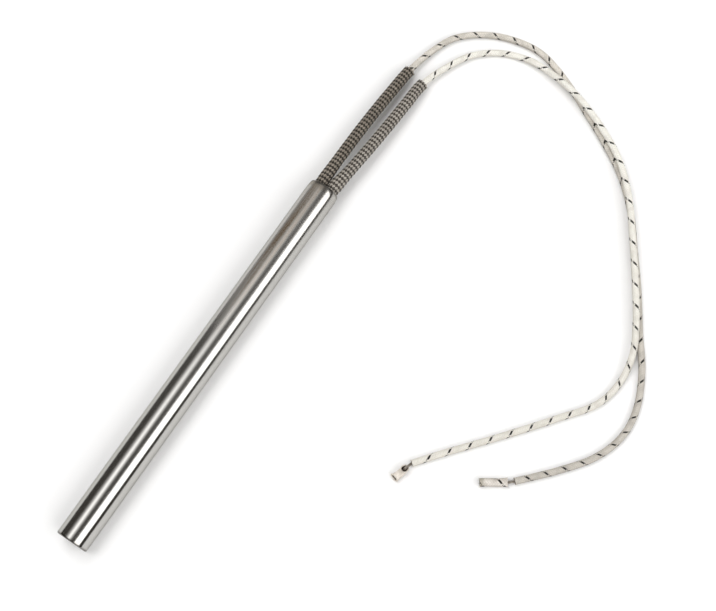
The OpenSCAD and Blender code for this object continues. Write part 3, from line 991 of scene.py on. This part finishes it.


# Ground stainless steel, with a brown heat stain along the upper flank near the open end, and painted
# shade and reflection at the open end and the rounded edges
def steelFinish():
    look = steelLook
    finish = Finish("groundSteel")
    x, y, z = finish.place()
    turn = y.calc("ARCTAN2", z - heater["axisZ"] * mm)

    def drawn(along, around, layer, detail):
        return finish.noise(x * along, turn * around, layer, 1.0, detail)

    lines = drawn(*look["lines"])
    cloud = drawn(*look["clouds"])
    streak = drawn(*look["streaks"]).between(*look["streakRange"])
    grain = drawn(*look["grain"]).between(*look["grainRange"])
    back = x * -1.0
    length = (back + cloud * look["stainDrift"]).between(*look["stainRise"])
    length = length * (1.0 - back.between(*look["stainStop"]))
    streakPart, grainPart, plainPart = look["stainMix"]
    patchy = streak * streakPart + grain * grainPart + plainPart
    stain = length * turn.band(*look["stainAround"]) * patchy
    beige = length * turn.band(*look["beigeAround"])
    # painted reflection and shade near the open end, standing in for the dark sleeves mirrored there
    mouthShadeWide = back.between(*look["mouthShadeWide"]) * look["mouthShadeWideCover"] * cloud
    mouthShadeSide = 1.0 - turn.between(*look["mouthShadeEndAround"])
    mouthShade = mouthShadeWide + back.between(*look["mouthShadeEnd"]) * mouthShadeSide * look["mouthShadeEndCover"]
    haze = back.between(*look["hazeAlong"])
    crisp = turn.band(*look["crispAround"]) * (1.0 - haze * look["crispHaze"])
    rim = x.calc("ABSOLUTE").between(*look["rimAt"])
    tone = finish.blend(cloud * look["dullCover"], look["bright"], look["dull"])
    tone = finish.blend(stain * look["stainCover"], tone, look["stain"])
    tone = finish.blend(beige * look["beigeCover"], tone, look["beige"])
    tone = finish.blend(mouthShade, tone, look["mouthShade"])
    tone = finish.blend(rim * look["rimCover"], tone, look["rim"])
    rough = lines * look["roughLines"] + cloud * look["roughClouds"] + stain * look["roughStain"]
    rough = rough + haze * (1.0 - crisp) * look["roughHaze"] + look["rough"]
    rough = rough - crisp * look["smoothCrisp"]
    metal = 1.0 - stain * look["stainCoat"] - haze * look["hazeCoat"]
    relief = finish.bump(lines, look["reliefDepth"], look["reliefStrength"])
    return finish.surface({"Base Color": tone, "Metallic": metal, "Roughness": rough,
                           "Normal": relief, "Specular Tint": look["tint"]})


sheathTube = makeSheath(steelFinish())
print("sheath made")


# Finishes of the solids that stay
chalkLook = {"detail": 5.0, "range": (0.35, 0.7), "rough": 0.85,
             "reliefDepth": 0.0001, "reliefStrength": 0.7}
metalLook = {"drawn": (300.0, 1800.0), "range": (0.3, 0.7), "roughPatch": 0.15}


def chalkFinish(name, colour, shade, grain):
    finish = Finish(name)
    x, y, z = finish.place()
    patch = finish.noise(x, y, z, grain, chalkLook["detail"])
    tone = finish.blend(patch.between(*chalkLook["range"]), colour, shade)
    relief = finish.bump(patch, chalkLook["reliefDepth"], chalkLook["reliefStrength"])
    return finish.surface({"Base Color": tone, "Roughness": chalkLook["rough"], "Normal": relief})


def metalFinish(name, colour, shade, rough):
    finish = Finish(name)
    x, y, z = finish.place()
    along, across = metalLook["drawn"]
    patch = finish.noise(x * along, y * across, z * across)
    tone = finish.blend(patch.between(*metalLook["range"]), colour, shade)
    return finish.surface({"Base Color": tone, "Metallic": 1.0,
                           "Roughness": patch * metalLook["roughPatch"] + rough})


magnesia = chalkFinish("pressedMagnesia", rgb(0.86, 0.84, 0.78), rgb(0.74, 0.71, 0.64), 900.0)
powder = chalkFinish("magnesiaPowder", rgb(0.92, 0.91, 0.88), rgb(0.82, 0.8, 0.76), 2500.0)
cement = chalkFinish("sealCement", rgb(0.6, 0.57, 0.51), rgb(0.36, 0.33, 0.29), 1400.0)
nickel = metalFinish("nickelPin", rgb(0.62, 0.6, 0.55), rgb(0.5, 0.47, 0.42), 0.25)
nichrome = metalFinish("resistanceWire", rgb(0.3, 0.29, 0.28), rgb(0.18, 0.17, 0.16), 0.35)
plugSteel = metalFinish("plugSteel", rgb(0.56, 0.55, 0.53), rgb(0.45, 0.43, 0.4), 0.3)
keptFinishes = {
    "tip_spacer": magnesia, "head_insulator": magnesia, "powder_fill": powder,
    "heating_coil": nichrome, "long_pin": nickel, "short_pin": nickel,
    "splice_1": nickel, "splice_2": nickel, "end_seal": cement, "end_plug": plugSteel,
}
keptFinishes.update({name: magnesia for name in nodes if name.startswith("core_segment")})
for name, finish in keptFinishes.items():
    nodes[name].data.materials.clear()
    nodes[name].data.materials.append(finish)
print("solids finished:", len(keptFinishes))


# Every new piece rides on the one body, names its slot and stands for its solid
standsFor = [
    (sheathTube, "sheath", "sheath_steel"),
    (sleeveOne, "sleeve_1", "dark_braid"),
    (sleeveTwo, "sleeve_2", "grey_braid"),
    (insulationOne, "lead_1_insulation", "grey_cream_braid"),
    (insulationTwo, "lead_2_insulation", "cream_braid"),
    (conductorOne, "lead_1_conductor", "stranded_wire"),
    (conductorTwo, "lead_2_conductor", "stranded_wire"),
    (slugOne, "lead_1_end_slug", "grey_cream_braid"),
    (slugTwo, "lead_2_end_slug", "cream_braid"),
]
for piece, solid, slot in standsFor:
    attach(piece, "root")
    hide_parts(solid)
for lead, cord, line, others in (
        (leadOne, insulationOne, lineOne, [sleeveOne, conductorOne, slugOne]),
        (leadTwo, insulationTwo, lineTwo, [sleeveTwo, conductorTwo, slugTwo])):
    mouth = (heater["mouthX"] * mm, lead["side"] * heater["leadY"] * mm, heater["axisZ"] * mm)

print("all pieces in place")
